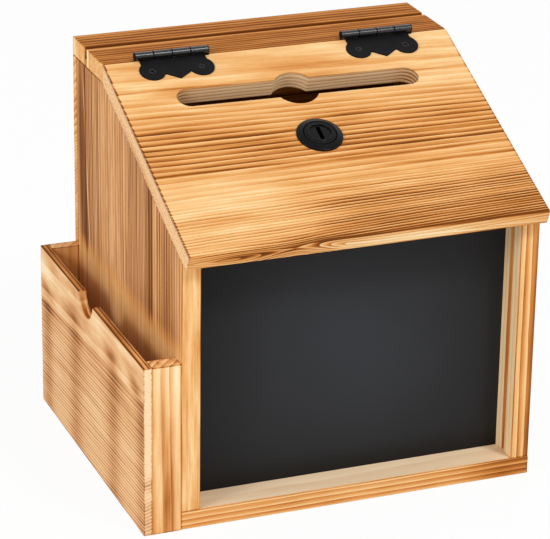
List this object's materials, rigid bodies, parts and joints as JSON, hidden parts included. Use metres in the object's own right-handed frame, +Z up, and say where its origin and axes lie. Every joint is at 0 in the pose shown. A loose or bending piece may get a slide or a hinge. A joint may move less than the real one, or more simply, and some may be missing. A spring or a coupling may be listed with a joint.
{
  "type": "desk letter box",
  "caption": "Wooden desk box with a sloped, hinged and locking lid, a letter slot, a blackboard front, a card kerf on top and an open side pocket.",
  "frame": {"origin": "centre of the case's underside, the side pocket left out", "axes": "+X to the right as seen from the blackboard front, +Y from the front to the back, +Z up"},
  "size_m": [0.2535, 0.2192, 0.2533],
  "materials": {
    "scorched_pine": "flame-scorched pine, honey with brown bands along the grain, satin",
    "dark_scorched_pine": "flame-scorched pine, deep brown, satin",
    "blackboard": "matt black chalkboard paint",
    "black_enamel": "semi-gloss black enamel",
    "zinc_plate": "bright zinc plate"
  },
  "bodies": {
    "case": {"bottom_board": "scorched_pine", "left_side_panel": "scorched_pine", "right_side_panel": "scorched_pine", "back_panel": "scorched_pine", "top_board": "dark_scorched_pine", "hinge_rail": "dark_scorched_pine", "blackboard_panel": "blackboard", "catch_rail": "scorched_pine", "rear_leaf_left": "black_enamel", "rear_leaf_right": "black_enamel", "hinge_pin_left": "black_enamel", "hinge_pin_right": "black_enamel", "rear_leaf_screws": "black_enamel", "pocket_outer_board": "scorched_pine", "pocket_front_board": "scorched_pine", "pocket_back_board": "scorched_pine", "pocket_floor": "scorched_pine", "bottom_brads": "zinc_plate", "back_panel_brads": "zinc_plate"},
    "lid": {"lid_board": "scorched_pine", "front_leaf_left": "black_enamel", "front_leaf_right": "black_enamel", "front_leaf_screws": "black_enamel", "lock_body": "black_enamel", "lock_nut": "zinc_plate"},
    "lock_core": {"lock_plug": "black_enamel", "lock_cam": "zinc_plate", "cam_screw": "zinc_plate"}
  },
  "joints": [
    {"name": "lid_hinge", "type": "hinge", "parent": "case", "child": "lid", "pos_m": [0, 0.04275, 0.2508], "axis": [-1, 0, 0], "range_deg": [0, 200]},
    {"name": "lock_turn", "type": "hinge", "parent": "lid", "child": "lock_core", "pos_m": [-0.0024, -0.0349, 0.21515], "axis": [0, -0.3907, 0.9205], "range_deg": [0, 90]}
  ]
}
